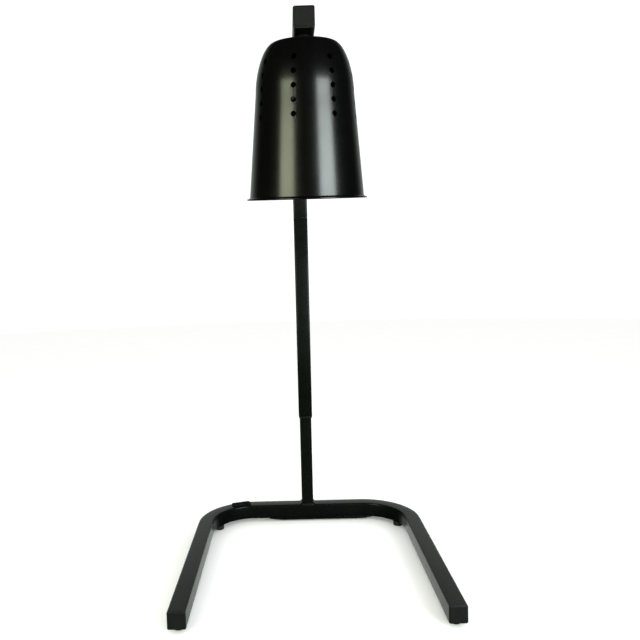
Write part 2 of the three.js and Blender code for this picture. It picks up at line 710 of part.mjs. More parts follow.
// The glass from its neck down to the face, as [radius, height] pairs of the outer side.
function glassOutline() {
  const neckEnd = screwBottom - 16;
  const widest = bulbFace + 26;
  const neckRadius = BULB_NECK + NECK_FLARE;
  const points = [[BULB_NECK, screwBottom - FIT], [BULB_NECK + NECK_FLARE, neckEnd]];
  const flareSteps = 5;
  for (let i = 1; i <= flareSteps; i++) {
    const t = i / flareSteps;
    const swell = Math.sin((t * Math.PI) / 2);
    points.push([neckRadius + (BULB_RADIUS - neckRadius) * swell, neckEnd + (widest - neckEnd) * t]);
  }
  const faceSteps = 4;
  for (let i = 1; i <= faceSteps; i++) {
    const a = (i / faceSteps) * (Math.PI / 2);
    points.push([BULB_RADIUS * Math.cos(a), widest - (widest - bulbFace) * Math.sin(a)]);
  }
  points[points.length - 1][0] = 0;
  return points;
}
function bulbGlass() {
  const outer = glassOutline();
  const inner = outer.map(([r, z], i) => {
    if (i === outer.length - 1) return [0, z + GLASS_WALL];
    const [r0, z0] = outer[Math.max(i - 1, 0)];
    const [r1, z1] = outer[i + 1];
    const along = Math.hypot(r1 - r0, z1 - z0);
    return [r + (GLASS_WALL * (z1 - z0)) / along, z - (GLASS_WALL * (r1 - r0)) / along];
  });
  inner[0][1] = outer[0][1];
  const profile = [...outer.reverse(), ...inner];
  return turned(profile, 24);
}
place(lamp, "bulb_glass", bulbGlass(), lampGlass());

// ---- Internal leads ----
const LEAD_OFFSET = 3.6; // the two leads pass side by side inside the column
const LEAD_SIDES = 8;
const LEAD_LOWER_TOP = 440;
const LEAD_UPPER_BOTTOM = 290;
const LEAD_ARM_Z = ARM_MID_Z + 7;
const leadShape = () => new THREE.Shape(arcPoints(0, 0, LEAD_RADIUS, 0, 360, LEAD_SIDES).slice(0, -1));
const lowerRoute = [
  new THREE.Vector3(GLAND_X, TUBE / 2 + 3, BASE_MID_Z),
  new THREE.Vector3(GLAND_X, -LEAD_OFFSET, BASE_MID_Z),
  new THREE.Vector3(0, -LEAD_OFFSET, BASE_MID_Z),
  new THREE.Vector3(0, -LEAD_OFFSET, LEAD_LOWER_TOP),
];
place(base, "supply_lead_lower", swept(leadShape(), routeThrough(lowerRoute, 8, 4)), blackRubber());
const upperRoute = [
  new THREE.Vector3(0, LEAD_OFFSET, LEAD_UPPER_BOTTOM),
  new THREE.Vector3(0, LEAD_OFFSET, LEAD_ARM_Z),
  new THREE.Vector3(0, SHADE_Y, LEAD_ARM_Z),
];
place(column, "supply_lead_upper", swept(leadShape(), routeThrough(upperRoute, BEND_RADIUS + 5, 8)), blackRubber());
const holderLead = rod(NIPPLE_BORE - 0.8, NIPPLE_TOP - 1 - CONTACT_Z - 8, 10);
place(lamp, "holder_lead", holderLead, blackRubber(), 0, 0, CONTACT_Z + 8);
const SWITCH_LEAD = 2.2;
const switchLead = rod(SWITCH_LEAD, 122, 10).rotateY(Math.PI / 2);
place(base, "switch_lead", switchLead, blackRubber(), -136, 0, BASE_MID_Z - 1);

// The object's box is centred on the origin, and its feet stand at z = 0.
const box = new THREE.Box3().setFromObject(group, true);
const middle = box.getCenter(new THREE.Vector3());
group.position.set(-middle.x, -middle.y, -box.min.z);
export default group;
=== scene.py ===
# A free-standing infrared food warmer: bent square-tube base, telescoping column with a bent arm,
# and a tall vented bell shade over a reflector bulb. Metres, +Z up, the open front towards -Y.
import json
import math

import bmesh
import bpy
from mathutils import Matrix, Vector


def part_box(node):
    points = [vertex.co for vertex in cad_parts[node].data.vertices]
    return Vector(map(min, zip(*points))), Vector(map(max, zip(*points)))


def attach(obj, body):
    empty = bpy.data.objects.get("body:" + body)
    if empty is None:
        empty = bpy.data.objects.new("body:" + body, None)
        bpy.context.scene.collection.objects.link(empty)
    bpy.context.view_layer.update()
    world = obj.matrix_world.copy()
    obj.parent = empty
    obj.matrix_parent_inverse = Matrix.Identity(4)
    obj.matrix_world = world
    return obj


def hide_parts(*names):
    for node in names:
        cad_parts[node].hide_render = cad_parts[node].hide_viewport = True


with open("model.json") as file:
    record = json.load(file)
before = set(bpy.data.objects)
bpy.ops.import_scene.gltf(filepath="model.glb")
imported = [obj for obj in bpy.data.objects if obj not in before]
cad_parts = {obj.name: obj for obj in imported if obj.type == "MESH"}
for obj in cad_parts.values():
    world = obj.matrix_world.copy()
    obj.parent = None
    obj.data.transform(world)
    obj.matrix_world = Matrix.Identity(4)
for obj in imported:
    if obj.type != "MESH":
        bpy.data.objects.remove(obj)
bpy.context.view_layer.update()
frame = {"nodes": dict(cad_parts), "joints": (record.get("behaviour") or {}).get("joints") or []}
MM = 0.001

# ---- Camera, counter and light ----
# The lamp stands on a pale counter under soft studio boxes. The camera looks at it from the front,
# at the height of the column's middle, a little off its middle plane.
scene = bpy.context.scene
post_low, post_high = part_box("lower_post")
base_low, base_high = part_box("base_frame")
column_axis = Vector(((post_low.x + post_high.x) / 2, (post_low.y + post_high.y) / 2, 0))
camera_data = bpy.data.cameras.new("camera")
camera = bpy.data.objects.new("camera", camera_data)
scene.collection.objects.link(camera)
scene.camera = camera
camera_data.sensor_width = 36
camera_data.lens = 36
camera_data.shift_x = 0.0596
camera_data.shift_y = 0.0093
camera_data.clip_end = 30
CAMERA_FROM_COLUMN = Vector((-0.033, -1.4956, 0.5729 + base_low.z))
CAMERA_YAW = 0.64
CAMERA_PITCH = 4.46
CAMERA_ROLL = -1.6
camera.matrix_world = (
    Matrix.Translation(column_axis + CAMERA_FROM_COLUMN)
    @ Matrix.Rotation(math.radians(CAMERA_YAW), 4, "Z")
    @ Matrix.Rotation(math.radians(-CAMERA_PITCH), 4, "X")
    @ Matrix.Rotation(math.radians(-CAMERA_ROLL), 4, "Y")
    @ Matrix.Rotation(math.radians(90), 4, "X")
)


def tone(code):
    """A linear colour from an sRGB hex code."""
    channels = []
    for start in (1, 3, 5):
        value = int(code[start:start + 2], 16) / 255
        channels.append(value / 12.92 if value <= 0.04045 else ((value + 0.055) / 1.055) ** 2.4)
    return (*channels, 1.0)


def add_node(tree, kind, inputs=None, **settings):
    """Adds a node; inputs holds socket values or the sockets to link from."""
    node = tree.nodes.new(kind)
    for name, value in settings.items():
        setattr(node, name, value)
    for name, value in (inputs or {}).items():
        if isinstance(value, bpy.types.NodeSocket):
            tree.links.new(value, node.inputs[name])
        else:
            node.inputs[name].default_value = value
    return node


def new_material(name):
    """An empty material with its Principled shader: (material, tree, shader)."""
    material = bpy.data.materials.new(name)
    material.use_nodes = True
    tree = material.node_tree
    tree.nodes.clear()
    shader = add_node(tree, "ShaderNodeBsdfPrincipled")
    add_node(tree, "ShaderNodeOutputMaterial", {"Surface": shader.outputs["BSDF"]})
    return material, tree, shader


def two_tone(tree, source, colour, light_colour, start=0.0, end=1.0):
    """A colour that runs from one sRGB hex code to another as the source rises from start to end."""
    ramp = add_node(tree, "ShaderNodeValToRGB", {"Fac": source})
    for element, position, code in zip(ramp.color_ramp.elements, (start, end), (colour, light_colour)):
        element.position = position
        element.color = tone(code)
    return ramp.outputs["Color"]


def vary_roughness(tree, shader, source, low, high):
    """Links a roughness that follows the source between two values."""
    rough = add_node(tree, "ShaderNodeMapRange", {"Value": source, "To Min": low, "To Max": high})
    tree.links.new(rough.outputs["Result"], shader.inputs["Roughness"])


def raise_skin(tree, shader, source, strength, distance, under=None):
    """Links a bump that follows the source, over another bump if there is one."""
    inputs = {"Height": source, "Strength": strength, "Distance": distance}
    if under:
        inputs["Normal"] = under
    skin = add_node(tree, "ShaderNodeBump", inputs)
    tree.links.new(skin.outputs["Normal"], shader.inputs["Normal"])
    return skin.outputs["Normal"]


def specked(tree, base, source, start, end, amount, code):
    """The base colour with another mixed in where the source is between start and end or above."""
    spread = add_node(
        tree, "ShaderNodeMapRange",
        {"Value": source, "From Min": start, "From Max": end, "To Min": 0.0, "To Max": amount},
    )
    mixed = add_node(
        tree, "ShaderNodeMix", {"Factor": spread.outputs["Result"], 6: base, 7: tone(code)}, data_type="RGBA",
    )
    return mixed.outputs[2]


# Counter: matt white laminate with a barely visible mottle.
counter_white, tree, shader = new_material("matt_white_laminate")
place = add_node(tree, "ShaderNodeTexCoord")
mottle = add_node(tree, "ShaderNodeTexNoise", {"Vector": place.outputs["Object"], "Scale": 6.0})
tree.links.new(two_tone(tree, mottle.outputs["Fac"], "#F6F6F5", "#FBFBFA"), shader.inputs["Base Color"])
shader.inputs["Roughness"].default_value = 0.7
COUNTER_SIZE = 14.0
COUNTER_TOP = -0.5 * MM  # a hair under the feet
bm = bmesh.new()
bmesh.ops.create_circle(bm, cap_ends=True, segments=64, radius=COUNTER_SIZE / 2)
bmesh.ops.translate(bm, verts=bm.verts, vec=(0, 0, COUNTER_TOP))
counter_mesh = bpy.data.meshes.new("counter")
bm.to_mesh(counter_mesh)
bm.free()
counter = bpy.data.objects.new("counter", counter_mesh)
scene.collection.objects.link(counter)
counter_mesh.materials.append(counter_white)
counter.visible_glossy = False  # the paint mirrors the dark studio, not the counter

# The paint mirrors a dark room in front and overhead, and a paler wall behind the lamp.
world = bpy.data.worlds.new("studio")
scene.world = world
world.use_nodes = True
sky = world.node_tree
sky.nodes.clear()
ROOM = 0.008
WALL_BEHIND = 0.70
COUNTER_BEHIND = 1.1
DAYLIGHT = 1.14  # soft light from all round, which the counter shows as white
direction = add_node(sky, "ShaderNodeTexCoord").outputs["Generated"]
heading = add_node(sky, "ShaderNodeSeparateXYZ", {"Vector": direction})
behind = add_node(
    sky, "ShaderNodeMapRange", {"Value": heading.outputs["Y"], "From Min": 0.45, "From Max": 1.05},
    interpolation_type="SMOOTHSTEP",
)
height = add_node(sky, "ShaderNodeMath", {0: heading.outputs["Z"]}, operation="ABSOLUTE")
low = add_node(
    sky, "ShaderNodeMapRange", {"Value": height.outputs[0], "From Min": 0.70, "From Max": 0.40},
    interpolation_type="SMOOTHSTEP",
)
wall = add_node(sky, "ShaderNodeMath", {0: behind.outputs[0], 1: low.outputs[0]}, operation="MULTIPLY")
glow = add_node(
    sky, "ShaderNodeMapRange",
    {
        "Value": heading.outputs["Z"], "From Min": -0.25, "From Max": 0.05,
        "To Min": COUNTER_BEHIND, "To Max": WALL_BEHIND,
    },
)
seen_behind = add_node(sky, "ShaderNodeMath", {0: wall.outputs[0], 1: glow.outputs[0]}, operation="MULTIPLY")
strength = add_node(sky, "ShaderNodeMath", {0: seen_behind.outputs[0], 1: ROOM}, operation="ADD")
mirrored = add_node(sky, "ShaderNodeBackground", {"Color": tone("#EEF6F0"), "Strength": strength.outputs[0]})
soft_light = add_node(sky, "ShaderNodeBackground", {"Color": tone("#FFFFFF"), "Strength": DAYLIGHT})
light_path = add_node(sky, "ShaderNodeLightPath")
lit = add_node(sky, "ShaderNodeMixShader", {0: light_path.outputs["Is Glossy Ray"]})
sky.links.new(soft_light.outputs[0], lit.inputs[1])
sky.links.new(mirrored.outputs[0], lit.inputs[2])
add_node(sky, "ShaderNodeOutputWorld", {"Surface": lit.outputs[0]})


def add_softbox(name, location, aim, size, power, colour):
    """A rectangular studio light that faces a point."""
    data = bpy.data.lights.new(name, "AREA")
    data.shape = "RECTANGLE"
    data.size, data.size_y = size
    data.energy = power
    data.color = tone(colour)[:3]
    light = bpy.data.objects.new(name, data)
    facing = (aim - location).to_track_quat("-Z", "Y")
    light.matrix_world = Matrix.Translation(location) @ facing.to_matrix().to_4x4()
    scene.collection.objects.link(light)


shade_low, shade_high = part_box("shade")
shade_centre = (shade_low + shade_high) / 2
BOX_HEIGHT = 0.6
lamp_point = Vector((shade_centre.x, shade_centre.y, BOX_HEIGHT))
SOFTBOXES = [  # name, place from the lamp point, size, watts, colour
    ("softbox_left", (-1.12, -1.34, 0.10), (0.86, 1.10), 24, "#F1F8D4"),
    ("softbox_right", (1.12, -1.34, 0.10), (0.94, 1.10), 43, "#EEFAF7"),
]
for name, offset, size, power, colour in SOFTBOXES:
    add_softbox(name, lamp_point + Vector(offset), lamp_point, size, power, colour)
scene.view_settings.view_transform = "Standard"

# ---- Base frame ----
# One length of 1.25 inch square steel tube, bent twice on a 105 mm radius into a U, with the corners
# of the tube rounded by the rolling mill. It is powder coated satin black.
TUBE = 31.4 * MM
TUBE_WALL = 1.2 * MM
TUBE_CORNER = 3 * MM
BEND_RADIUS = 105 * MM
BEND_STEPS = 32


def powder_coat(name, colour, light_colour, roughness, peel, specular=0.3):
    """Baked polyester powder: a satin black skin with fine orange peel and a trace of dust."""
    material, tree, shader = new_material(name)
    shader.inputs["Specular IOR Level"].default_value = specular
    place = add_node(tree, "ShaderNodeTexCoord").outputs["Object"]
    cloud = add_node(tree, "ShaderNodeTexNoise", {"Vector": place, "Scale": 14.0, "Detail": 5.0})
    tint = two_tone(tree, cloud.outputs["Fac"], colour, light_colour, 0.35, 0.75)
    speck = add_node(tree, "ShaderNodeTexNoise", {"Vector": place, "Scale": 1 / (0.9 * MM), "Detail": 2.0})
    coat = specked(tree, tint, speck.outputs["Fac"], 0.72, 0.80, 0.12, "#6E706C")
    tree.links.new(coat, shader.inputs["Base Color"])
    wear = add_node(
        tree, "ShaderNodeTexNoise", {"Vector": place, "Scale": 38.0, "Detail": 6.0, "Roughness": 0.65},
    )
    vary_roughness(tree, shader, wear.outputs["Fac"], roughness - 0.06, roughness + 0.07)
    orange = add_node(tree, "ShaderNodeTexNoise", {"Vector": place, "Scale": 1 / (2.2 * MM), "Detail": 1.5})
    raise_skin(tree, shader, orange.outputs["Fac"], peel, 0.12 * MM)
    return material


frame_coat = powder_coat("satin_black_powder_coat", "#040505", "#080908", 0.27, 0.3, 0.24)


def rounded_face(bm, width, depth, corner, steps=6):
    """A rectangle with rounded corners on the XY plane, centred on the origin."""
    made = bmesh.ops.create_grid(bm, x_segments=1, y_segments=1, size=0.5)
    bmesh.ops.scale(bm, vec=(width, depth, 1), verts=made["verts"])
    bmesh.ops.bevel(
        bm, geom=made["verts"], offset=corner, segments=steps, affect="VERTICES", profile=0.5, material=-1,
    )
    return bm.faces[:]


def tube_face(bm, size, wall, corner):
    """The cut end of a square tube on the XY plane, centred on the origin."""
    rounded_face(bm, size, size, corner)
    ring = bmesh.ops.inset_region(
        bm, faces=bm.faces[:], thickness=wall, use_even_offset=True, use_boundary=True,
    )["faces"]
    bmesh.ops.delete(bm, geom=[face for face in bm.faces if face not in ring], context="FACES_ONLY")
    return ring


def faces_of(made):
    """The faces in a list of mesh elements."""
    return [item for item in made if isinstance(item, bmesh.types.BMFace)]


def verts_of(made):
    """The vertices in a list of mesh elements."""
    return [item for item in made if isinstance(item, bmesh.types.BMVert)]


def joined(faces):
    """Whether the faces are part of a larger body."""
    inner = set(faces)
    return any(face not in inner for start in faces for edge in start.edges for face in edge.link_faces)


def clear_inside(bm, faces):
    """Removes what is left of the faces that a body was drawn out from."""
    bmesh.ops.delete(bm, geom=[face for face in faces if face.is_valid], context="FACES")


def draw_out(bm, faces, step, cuts=1):
    """Draws the end faces out along a straight; returns the new ones. Loose faces stay as the other end."""
    for _ in range(cuts):
        attached = joined(faces)
        made = bmesh.ops.extrude_face_region(bm, geom=faces)["geom"]
        bmesh.ops.translate(bm, verts=verts_of(made), vec=Vector(step) / cuts)
        if attached:
            clear_inside(bm, faces)
        faces = faces_of(made)
    return faces


def bend(bm, faces, centre, axis, degrees, steps=BEND_STEPS):
    """Turns the end faces round a bend; returns the new end faces."""
    edges = {edge for face in faces for edge in face.edges}
    verts = {vert for face in faces for vert in face.verts}
    attached = joined(faces)
    made = bmesh.ops.spin(
        bm, geom=[*faces, *edges, *verts], cent=centre, axis=axis, dvec=(0, 0, 0),
        angle=math.radians(degrees), steps=steps, use_merge=False, use_duplicate=False,
    )
    if attached:
        clear_inside(bm, faces)
    return faces_of(made["geom_last"])


def make_piece(name, bm, *materials, smooth_angle=32):
    """A finished object from a bmesh, smooth but for its real edges."""
    bmesh.ops.remove_doubles(bm, verts=bm.verts, dist=1e-6)
    bmesh.ops.recalc_face_normals(bm, faces=bm.faces)
    mesh = bpy.data.meshes.new(name)
    bm.to_mesh(mesh)
    bm.free()
    for material in materials:
        mesh.materials.append(material)
    piece = bpy.data.objects.new(name, mesh)
    scene.collection.objects.link(piece)
    mesh.shade_smooth()
    mesh.set_sharp_from_angle(angle=math.radians(smooth_angle))
    return piece


def drill(piece, cutters, smooth_angle=32):
    """Cuts the closed shapes in a bmesh out of a piece."""
    mesh = bpy.data.meshes.new("cutters")
    cutters.to_mesh(mesh)
    cutters.free()
    tool = bpy.data.objects.new("cutters", mesh)
    scene.collection.objects.link(tool)
    modifier = piece.modifiers.new("drill", "BOOLEAN")
    modifier.operation = "DIFFERENCE"
    modifier.solver = "EXACT"
    modifier.object = tool
    bpy.context.view_layer.update()
    cut = bpy.data.meshes.new_from_object(piece.evaluated_get(bpy.context.evaluated_depsgraph_get()))
    piece.modifiers.clear()
    piece.data = cut
    bpy.data.objects.remove(tool)
    cut.shade_smooth()
    cut.set_sharp_from_angle(angle=math.radians(smooth_angle))


def stand_in(piece, body, slot, *nodes):
    """The piece rides on its body and stands for its CAD nodes, which it hides; the slot is not used."""
    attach(piece, body)
    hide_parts(*nodes)


def move(bm, *steps):
    """Moves everything in the bmesh by the matrices, the last one first."""
    matrix = Matrix.Identity(4)
    for step in steps:
        matrix = matrix @ step
    bmesh.ops.transform(bm, matrix=matrix, verts=bm.verts)


def shift(x, y, z):
    """A move, as a matrix."""
    return Matrix.Translation((x, y, z))


def turned(degrees, axis):
    """A turn about an axis in degrees, as a matrix."""
    return Matrix.Rotation(math.radians(degrees), 4, axis)


SWITCH_SWING = 18.0305  # the switch sits in the bend, square to the tube there
SWITCH_OPENING = (28.6 * MM, 13.6 * MM)
rocker_joint = next(joint for joint in frame["joints"] if joint["name"] == "power_rocker_tilt")
rocker_pivot = Vector(rocker_joint["pos_m"])
switch_seat = Vector((rocker_pivot.x, rocker_pivot.y, base_high.z))
leg_x = base_high.x - TUBE / 2
base_z = (base_low.z + base_high.z) / 2
rear_y = base_high.y - TUBE / 2
bm = bmesh.new()
end = tube_face(bm, TUBE, TUBE_WALL, TUBE_CORNER)
move(bm, shift(-leg_x, base_low.y, base_z), turned(90, "X"))
leg_run = rear_y - BEND_RADIUS - base_low.y
end = draw_out(bm, end, (0, leg_run, 0), 4)
end = bend(bm, end, (-leg_x + BEND_RADIUS, rear_y - BEND_RADIUS, base_z), (0, 0, 1), -90)
end = draw_out(bm, end, (2 * (leg_x - BEND_RADIUS), 0, 0), 4)
end = bend(bm, end, (leg_x - BEND_RADIUS, rear_y - BEND_RADIUS, base_z), (0, 0, 1), -90)
draw_out(bm, end, (0, -leg_run, 0), 4)
base_piece = make_piece("bent_base_tube", bm, frame_coat)
bm = bmesh.new()
bmesh.ops.create_cube(bm, size=1)
bmesh.ops.scale(bm, vec=(*SWITCH_OPENING, 8 * MM), verts=bm.verts)
move(bm, Matrix.Translation(switch_seat), turned(SWITCH_SWING, "Z"))
drill(base_piece, bm)
stand_in(base_piece, "base", "powder_coat_black", "base_frame")

# ---- Tube caps ----
# Push-in caps close the two legs and the arm: a square face over a hollow plug, injection moulded
# in black ABS. The middle of the face stands a little proud of its rounded border.
CAP_PLATE = 2.7 * MM
CAP_EDGE = 1.1 * MM
CAP_STEP = 0.7 * MM  # the middle of the face stands proud of its border
CAP_PLUG = 12 * MM
CAP_PLUG_WALL = 2 * MM


def moulded(name, colour, light_colour, roughness, grain, depth, scuff="#55565A", specular=0.35):
    """Moulded polymer: a fine spark-eroded grain, faint flow clouds and pale scuffs."""
    material, tree, shader = new_material(name)
    shader.inputs["Specular IOR Level"].default_value = specular
    place = add_node(tree, "ShaderNodeTexCoord").outputs["Object"]
    cloud = add_node(tree, "ShaderNodeTexNoise", {"Vector": place, "Scale": 1 / (28 * MM), "Detail": 4.0})
    tint = two_tone(tree, cloud.outputs["Fac"], colour, light_colour, 0.32, 0.72)
    rub = add_node(
        tree, "ShaderNodeTexNoise", {"Vector": place, "Scale": 1 / (5 * MM), "Detail": 7.0, "Roughness": 0.7},
    )
    skin = specked(tree, tint, rub.outputs["Fac"], 0.66, 0.80, 0.15, scuff)
    tree.links.new(skin, shader.inputs["Base Color"])
    vary_roughness(tree, shader, rub.outputs["Fac"], roughness - 0.08, roughness + 0.08)
    pits = add_node(tree, "ShaderNodeTexVoronoi", {"Vector": place, "Scale": 1 / grain})
    raise_skin(tree, shader, pits.outputs["Distance"], 0.6, depth)
    return material


# The grain of the mould is about 0.3 mm; it is drawn at 0.7 mm so that it shows.
moulded_abs = moulded("moulded_black_abs", "#0B0C0C", "#111212", 0.42, 0.7 * MM, 0.05 * MM)


def soften(bm, width, segments=3, accept=None, angle=40):
    """Rounds the edges that are sharper than the angle, or those of them that accept takes."""
    bmesh.ops.recalc_face_normals(bm, faces=bm.faces)
    sharp = [
        edge for edge in bm.edges
        if len(edge.link_faces) == 2 and edge.calc_face_angle() > math.radians(angle)
        and (accept is None or accept(edge))
    ]
    bmesh.ops.bevel(
        bm, geom=sharp, offset=width, segments=segments, affect="EDGES", profile=0.5, material=-1,
    )


def sunk(bm, faces, width, depth):
    """Insets the faces and raises or sinks them; returns the inner faces."""
    bmesh.ops.recalc_face_normals(bm, faces=bm.faces)
    bmesh.ops.inset_region(bm, faces=faces, thickness=width, depth=depth, use_even_offset=True)
    return faces


def faces_at(bm, height):
    """The level faces at one height."""
    return [
        face for face in bm.faces
        if abs(face.calc_center_median().z - height) < 1e-6 and abs(face.normal.z) > 0.99
    ]


def tube_cap(name, front, body, node):
    """A cap whose face looks along -Y, with the middle of its face at front."""
    bm = bmesh.new()
    end = rounded_face(bm, TUBE, TUBE, TUBE_CORNER)
    bmesh.ops.translate(bm, verts=bm.verts, vec=(0, 0, CAP_STEP))
    draw_out(bm, end, (0, 0, CAP_PLATE - CAP_STEP))
    soften(bm, CAP_EDGE, 4, lambda edge: max(vert.co.z for vert in edge.verts) < CAP_STEP + 1e-6)
    bm.normal_update()
    face = sunk(bm, faces_at(bm, CAP_STEP), 0.9 * MM, 0)
    sunk(bm, face, 0.8 * MM, CAP_STEP)
    back = faces_at(bm, CAP_PLATE)
    back = sunk(bm, back, TUBE_WALL + 0.3 * MM, 0)
    back = draw_out(bm, back, (0, 0, CAP_PLUG))
    back = sunk(bm, back, CAP_PLUG_WALL, 0)
    draw_out(bm, back, (0, 0, 1 * MM - CAP_PLUG))
    move(bm, Matrix.Translation(front), turned(-90, "X"))
    piece = make_piece(name, bm, moulded_abs)
    stand_in(piece, body, "plastic_black", node)


for side, x in (("left", -leg_x), ("right", leg_x)):
    cap_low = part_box("leg_cap_" + side)[0]
    tube_cap("leg_end_cap_" + side, Vector((x, cap_low.y, base_z)), "base", "leg_cap_" + side)

# ---- Feet ----
# Four turned rubber feet under the tube, each held by a pan-head screw that is sunk in its middle.
# The rubber is dull and a little dusty, with two fine ribs round the side.


def turn(bm, profile, segments=64):
    """Spins (radius, height) pairs in mm about Z. A profile ends on the axis or where it starts."""
    verts = [bm.verts.new((radius * MM, 0, height * MM)) for radius, height in profile]
    edges = [bm.edges.new(pair) for pair in zip(verts, verts[1:])]
    if profile[0][0] > 0:
        edges.append(bm.edges.new((verts[-1], verts[0])))
    bmesh.ops.spin(
        bm, geom=[*verts, *edges], cent=(0, 0, 0), axis=(0, 0, 1), dvec=(0, 0, 0),
        angle=math.radians(360), steps=segments, use_merge=True, use_duplicate=False,
    )
    bmesh.ops.remove_doubles(bm, verts=bm.verts, dist=1e-7)


def arc(x, y, radius, start, end, steps):
    """Points round an arc as (radius, height) pairs."""
    angles = [math.radians(start + (end - start) * step / steps) for step in range(steps + 1)]
    return [(x + radius * math.cos(angle), y + radius * math.sin(angle)) for angle in angles]


foot_rubber = moulded("moulded_black_rubber", "#141513", "#232422", 0.78, 1.1 * MM, 0.06 * MM, "#77736B")
foot_profile = [
    (2.6, 4), (5.4, 4), (5.8, 3.6), (5.8, 0.5), *arc(6.3, 0.5, 0.5, 180, 270, 3),
    *arc(9.4, 1.0, 1.0, -90, -10, 5), (10.5, 2.6), *arc(10.55, 3.0, 0.35, -100, 100, 4),
    (10.7, 3.5), (10.75, 5.2), *arc(10.75, 5.6, 0.35, -100, 100, 4), (10.9, 6.1),
    *arc(10.2, 7.9, 0.8, 0, 90, 4), (2.6, 8.7),
]
for where in ("rear_left", "rear_right", "front_left", "front_right"):
    foot_low, foot_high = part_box("foot_" + where)
    bm = bmesh.new()
    turn(bm, foot_profile, 48)
    move(bm, shift((foot_low.x + foot_high.x) / 2, (foot_low.y + foot_high.y) / 2, 0))
    stand_in(make_piece("rubber_foot_" + where, bm, foot_rubber), "base", "rubber_black", "foot_" + where)

# ---- Screws and other plated steel ----
# Screws, nuts, washer, stud, spigot and nipple are mild steel, zinc plated and clear passivated:
# a pale blue-grey metal with fine crystals and dull smears from handling.


def plated(name, colour, light_colour, roughness, grain):
    """Bright plate over drawn or turned metal, with small crystals and handling smears."""
    material, tree, shader = new_material(name)
    shader.inputs["Metallic"].default_value = 1.0
    place = add_node(tree, "ShaderNodeTexCoord").outputs["Object"]
    crystals = add_node(tree, "ShaderNodeTexVoronoi", {"Vector": place, "Scale": 1 / grain})
    tint = two_tone(tree, crystals.outputs["Distance"], light_colour, colour)
    tree.links.new(tint, shader.inputs["Base Color"])
    smear = add_node(tree, "ShaderNodeTexNoise", {"Vector": place, "Scale": 1 / (6 * MM), "Detail": 6.0})
    vary_roughness(tree, shader, smear.outputs["Fac"], roughness - 0.1, roughness + 0.14)
    raise_skin(tree, shader, smear.outputs["Fac"], 0.4, 0.05 * MM)
    return material


zinc_plate = plated("zinc_plated_steel", "#8E9396", "#B4B8BA", 0.34, 0.8 * MM)


def finish_nodes(material, *nodes):
    """Gives CAD nodes that stay on show their real finish."""
    for node in nodes:
        shown = frame["nodes"][node]
        shown.data.materials.clear()
        shown.data.materials.append(material)


finish_nodes(zinc_plate, *(name for name in frame["nodes"] if name.startswith("foot_screw_")))
finish_nodes(zinc_plate, "cover_screw_left", "cover_screw_right")

# ---- Wiring cover ----
# A folded steel lid under the rear bar closes the wiring opening. Its ends ramp up to the tube,
# and its edges are softened by the powder coat.
COVER_END = 1.2 * MM
COVER_RAMPS = (30 * MM, 16 * MM)
cover_low, cover_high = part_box("wiring_cover")
cover_side = [
    (cover_low.x, cover_high.z), (cover_low.x, cover_high.z - COVER_END),
    (cover_low.x + COVER_RAMPS[0], cover_low.z), (cover_high.x - COVER_RAMPS[1], cover_low.z),
    (cover_high.x, cover_high.z - COVER_END), (cover_high.x, cover_high.z),
]
bm = bmesh.new()
end = [bm.faces.new([bm.verts.new((x, cover_low.y, z)) for x, z in cover_side])]
draw_out(bm, end, (0, cover_high.y - cover_low.y, 0))
soften(bm, 0.5 * MM, 3, angle=60)
stand_in(make_piece("wiring_lid", bm, frame_coat), "base", "powder_coat_black", "wiring_cover")

# ---- Power switch ----
# A snap-in rocker switch in the bend of the base: a moulded bezel with a softened rim and a
# concave key that tips in its well, both in a deep black nylon that hardly shines.
BEZEL = (44 * MM, 22 * MM)
BEZEL_HEIGHT = 3 * MM
SWITCH_BODY = (28 * MM, 13 * MM, 18 * MM)
WELL = (25.2 * MM, 11.2 * MM, 7 * MM)
KEY_HALF = 12.2
KEY_WIDTH = 10.4 * MM
KEY_TOP = 4.2
KEY_REST = 8  # degrees off level
SEAT_GAP = 0.3 * MM  # between the bezel and the tube
switch_nylon = moulded("moulded_black_nylon", "#020202", "#050505", 0.62, 0.5 * MM, 0.03 * MM, "#1C1C1C", 0.08)
bm = bmesh.new()
end = rounded_face(bm, *BEZEL, 5 * MM)
bmesh.ops.translate(bm, verts=bm.verts, vec=(0, 0, SEAT_GAP))
draw_out(bm, end, (0, 0, BEZEL_HEIGHT - SEAT_GAP))
soften(bm, 0.9 * MM, 4, lambda edge: min(vert.co.z for vert in edge.verts) > BEZEL_HEIGHT - 1e-6)
bm.normal_update()
top = sunk(bm, faces_at(bm, BEZEL_HEIGHT), 1.4 * MM, 0)
sunk(bm, top, 0.5 * MM, -0.4 * MM)
under = sunk(bm, faces_at(bm, SEAT_GAP), (BEZEL[1] - SWITCH_BODY[1]) / 2, 0)
inner = {vert for face in under for vert in face.verts}
narrowing = SWITCH_BODY[0] / (BEZEL[0] - BEZEL[1] + SWITCH_BODY[1])
bmesh.ops.scale(bm, vec=(narrowing, 1, 1), verts=list(inner))
draw_out(bm, under, (0, 0, -SWITCH_BODY[2]))
move(bm, Matrix.Translation(switch_seat), turned(SWITCH_SWING, "Z"))
bezel = make_piece("switch_bezel", bm, switch_nylon)
bm = bmesh.new()
bmesh.ops.create_cube(bm, size=1)
bmesh.ops.scale(bm, vec=(WELL[0], WELL[1], 2 * WELL[2]), verts=bm.verts)
move(bm, Matrix.Translation(switch_seat), turned(SWITCH_SWING, "Z"))
drill(bezel, bm)
stand_in(bezel, "base", "plastic_black", "power_switch_bezel")

